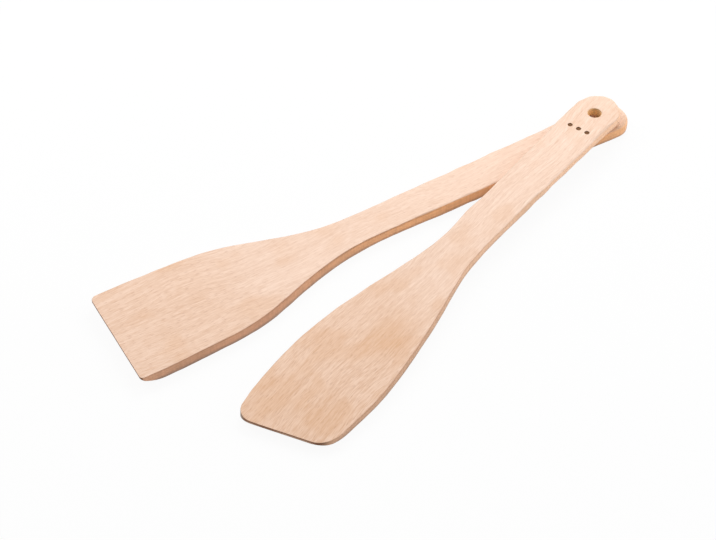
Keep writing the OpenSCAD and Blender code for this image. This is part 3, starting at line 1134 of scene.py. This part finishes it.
class TURNERS_OT_studio(bpy.types.Operator):
    """Sets up the pale floor, the soft light and the camera"""
    bl_idname = "turners.studio"
    bl_label = "Studio"

    def execute(self, context):
        studio = context.scene.studio_settings
        context.scene.view_settings.view_transform = "Standard"
        self.camera(context, studio)
        self.floor(context, studio)
        self.lamps(context, studio)
        self.tent(context, studio)
        return {"FINISHED"}

    def camera(self, context, studio):
        data = bpy.data.cameras.new("camera")
        data.sensor_width = 36.0
        data.lens = studio.focal_length
        data.clip_start = 0.01
        camera = bpy.data.objects.new("camera", data)
        context.scene.collection.objects.link(camera)
        place, target = Vector(studio.camera_place), Vector(studio.camera_target)
        camera.location = place
        camera.rotation_euler = (target - place).to_track_quat("-Z", "Y").to_euler()
        context.scene.camera = camera

    def floor(self, context, studio):
        reach = 3.0
        mesh = bpy.data.meshes.new("floor")
        mesh.from_pydata([(-reach, -reach, 0), (reach, -reach, 0), (reach, reach, 0),
                          (-reach, reach, 0)], [], [(0, 1, 2, 3)])
        floor = bpy.data.objects.new("floor", mesh)
        context.scene.collection.objects.link(floor)
        floor.location.z = -0.0001
        material, tree, shader = new_material("white floor card")
        shader.inputs["Base Color"].default_value = (*studio.floor_colour, 1)
        shader.inputs["Roughness"].default_value = 0.9
        shader.inputs["Specular IOR Level"].default_value = 0.0
        # To the camera the card is nearly white by itself, and keeps a soft share of the shadow
        output = next(n for n in tree.nodes if n.type == "OUTPUT_MATERIAL")
        glow = add_node(tree, "ShaderNodeEmission", {"Color": (1, 1, 1, 1), "Strength": 1.0})
        place = add_node(tree, "ShaderNodeTexCoord")
        away = add_node(tree, "ShaderNodeVectorMath", {
            0: place.outputs["Object"], 1: studio.camera_target}, operation="DISTANCE")
        white = add_node(tree, "ShaderNodeMapRange", {
            "Value": away.outputs["Value"], "From Min": 0.2, "From Max": 0.7,
            "To Min": 0.93, "To Max": 1.0}, interpolation_type="SMOOTHSTEP")
        share = add_node(tree, "ShaderNodeMath", {
            0: seen_rays(tree), 1: white}, operation="MULTIPLY")
        mixed = add_node(tree, "ShaderNodeMixShader", {
            "Fac": share.outputs["Value"], 1: shader.outputs["BSDF"], 2: glow.outputs["Emission"]})
        tree.links.new(mixed.outputs["Shader"], output.inputs["Surface"])
        floor.data.materials.append(material)

    def lamp(self, context, name, power, size, place, target):
        data = bpy.data.lights.new(name, "AREA")
        data.shape = "DISK"
        data.size = size
        data.energy = power
        lamp = bpy.data.objects.new(name, data)
        context.scene.collection.objects.link(lamp)
        lamp.location = place
        aim = Vector(target) - Vector(place)
        lamp.rotation_euler = aim.to_track_quat("-Z", "Y").to_euler()
        return lamp

    def lamps(self, context, studio):
        self.lamp(context, "softbox behind", studio.softbox_power, 0.8,
                  (0.62, 0.62, 0.85), (-0.12, -0.02, 0.0))
        self.lamp(context, "side lamp", studio.side_power, 0.8,
                  (0.9, -0.45, 0.55), (-0.12, -0.02, 0.0))
        self.lamp(context, "rim lamp", studio.rim_power, 0.8,
                  (-0.5, 0.8, 0.8), (-0.12, -0.02, 0.0))

    def tent(self, context, studio):
        world = context.scene.world or bpy.data.worlds.new("tent")
        context.scene.world = world
        world.use_nodes = True
        tree = world.node_tree
        tree.nodes.clear()
        lit = add_node(tree, "ShaderNodeBackground", {
            "Color": (1, 1, 1, 1), "Strength": studio.sky_strength})
        white = add_node(tree, "ShaderNodeBackground", {"Color": (1, 1, 1, 1), "Strength": 1.0})
        mixed = add_node(tree, "ShaderNodeMixShader", {
            "Fac": seen_rays(tree), 1: lit.outputs["Background"],
            2: white.outputs["Background"]})
        output = add_node(tree, "ShaderNodeOutputWorld")
        tree.links.new(mixed.outputs["Shader"], output.inputs["Surface"])


class TURNERS_PT_panel(bpy.types.Panel):
    """Turners: their sizes, finish and studio"""
    bl_idname = "TURNERS_PT_panel"
    bl_label = "Beech Turners"
    bl_space_type = "VIEW_3D"
    bl_region_type = "UI"
    bl_category = "Turners"

    def draw(self, context):
        layout = self.layout
        for operator in OPERATORS:
            layout.operator(operator.bl_idname)
        for name in SETTINGS:
            box = layout.box()
            group = getattr(context.scene, name)
            box.label(text=group.bl_rna.description)
            for prop in group.bl_rna.properties:
                if not prop.is_readonly and prop.identifier != "name":
                    box.prop(group, prop.identifier)


OPERATORS = (TURNERS_OT_lower_turner, TURNERS_OT_upper_turner, TURNERS_OT_burnt_dots,
             TURNERS_OT_studio)
SETTINGS = {
    "lower_turner_sizes": LowerTurnerSizes,
    "upper_turner_sizes": UpperTurnerSizes,
    "pair_sizes": PairSizes,
    "beech_finish": BeechFinish,
    "studio_settings": StudioSettings,
}


def register():
    for group in SETTINGS.values():
        bpy.utils.register_class(group)
    for operator in OPERATORS:
        bpy.utils.register_class(operator)
    bpy.utils.register_class(TURNERS_PT_panel)
    for name, group in SETTINGS.items():
        setattr(bpy.types.Scene, name, bpy.props.PointerProperty(type=group))


def unregister():
    for name in SETTINGS:
        delattr(bpy.types.Scene, name)
    bpy.utils.unregister_class(TURNERS_PT_panel)
    for operator in reversed(OPERATORS):
        bpy.utils.unregister_class(operator)
    for group in reversed(SETTINGS.values()):
        bpy.utils.unregister_class(group)


def main():
    register()
    bpy.ops.turners.lower_turner()
    bpy.ops.turners.upper_turner()
    bpy.ops.turners.burnt_dots()
    bpy.ops.turners.studio()


if __name__ == "__main__":
    main()
